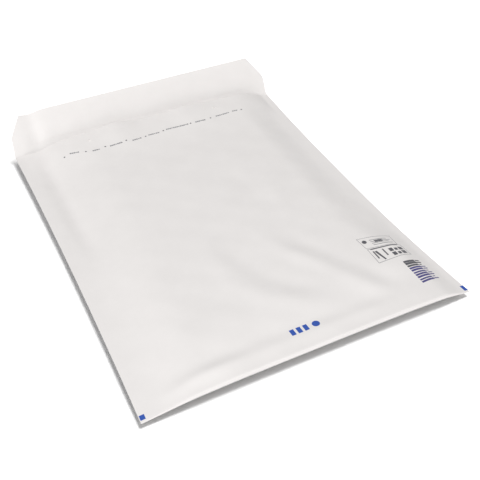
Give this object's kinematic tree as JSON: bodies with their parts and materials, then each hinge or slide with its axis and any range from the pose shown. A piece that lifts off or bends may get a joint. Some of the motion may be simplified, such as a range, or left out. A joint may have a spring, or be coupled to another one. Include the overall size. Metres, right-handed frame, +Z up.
{
  "type": "padded envelope",
  "caption": "White paper mailing envelope lined with air-bubble film, flat side seams, folded bottom, gaping mouth and a raised self-seal flap.",
  "frame": {"origin": "on the flat underside, at the middle of the body without its flap", "axes": "+X across the envelope's width, +Y along its length towards the mouth and flap, +Z up from the table"},
  "size_m": [0.37, 0.5162, 0.0528],
  "materials": {
    "white_paper": "bleached kraft paper, smooth and slightly satin, softly wrinkled",
    "bubble_film": "clear polyethylene air-bubble film, glossy",
    "glue": "thin coat of pressure-sensitive hot-melt glue",
    "liner_paper": "white silicone-coated release paper, semi-gloss"
  },
  "bodies": {
    "root": {"outer_paper": "white_paper", "bubble_lining": "bubble_film", "adhesive_strip": "glue", "release_liner": "liner_paper"}
  },
  "joints": []
}
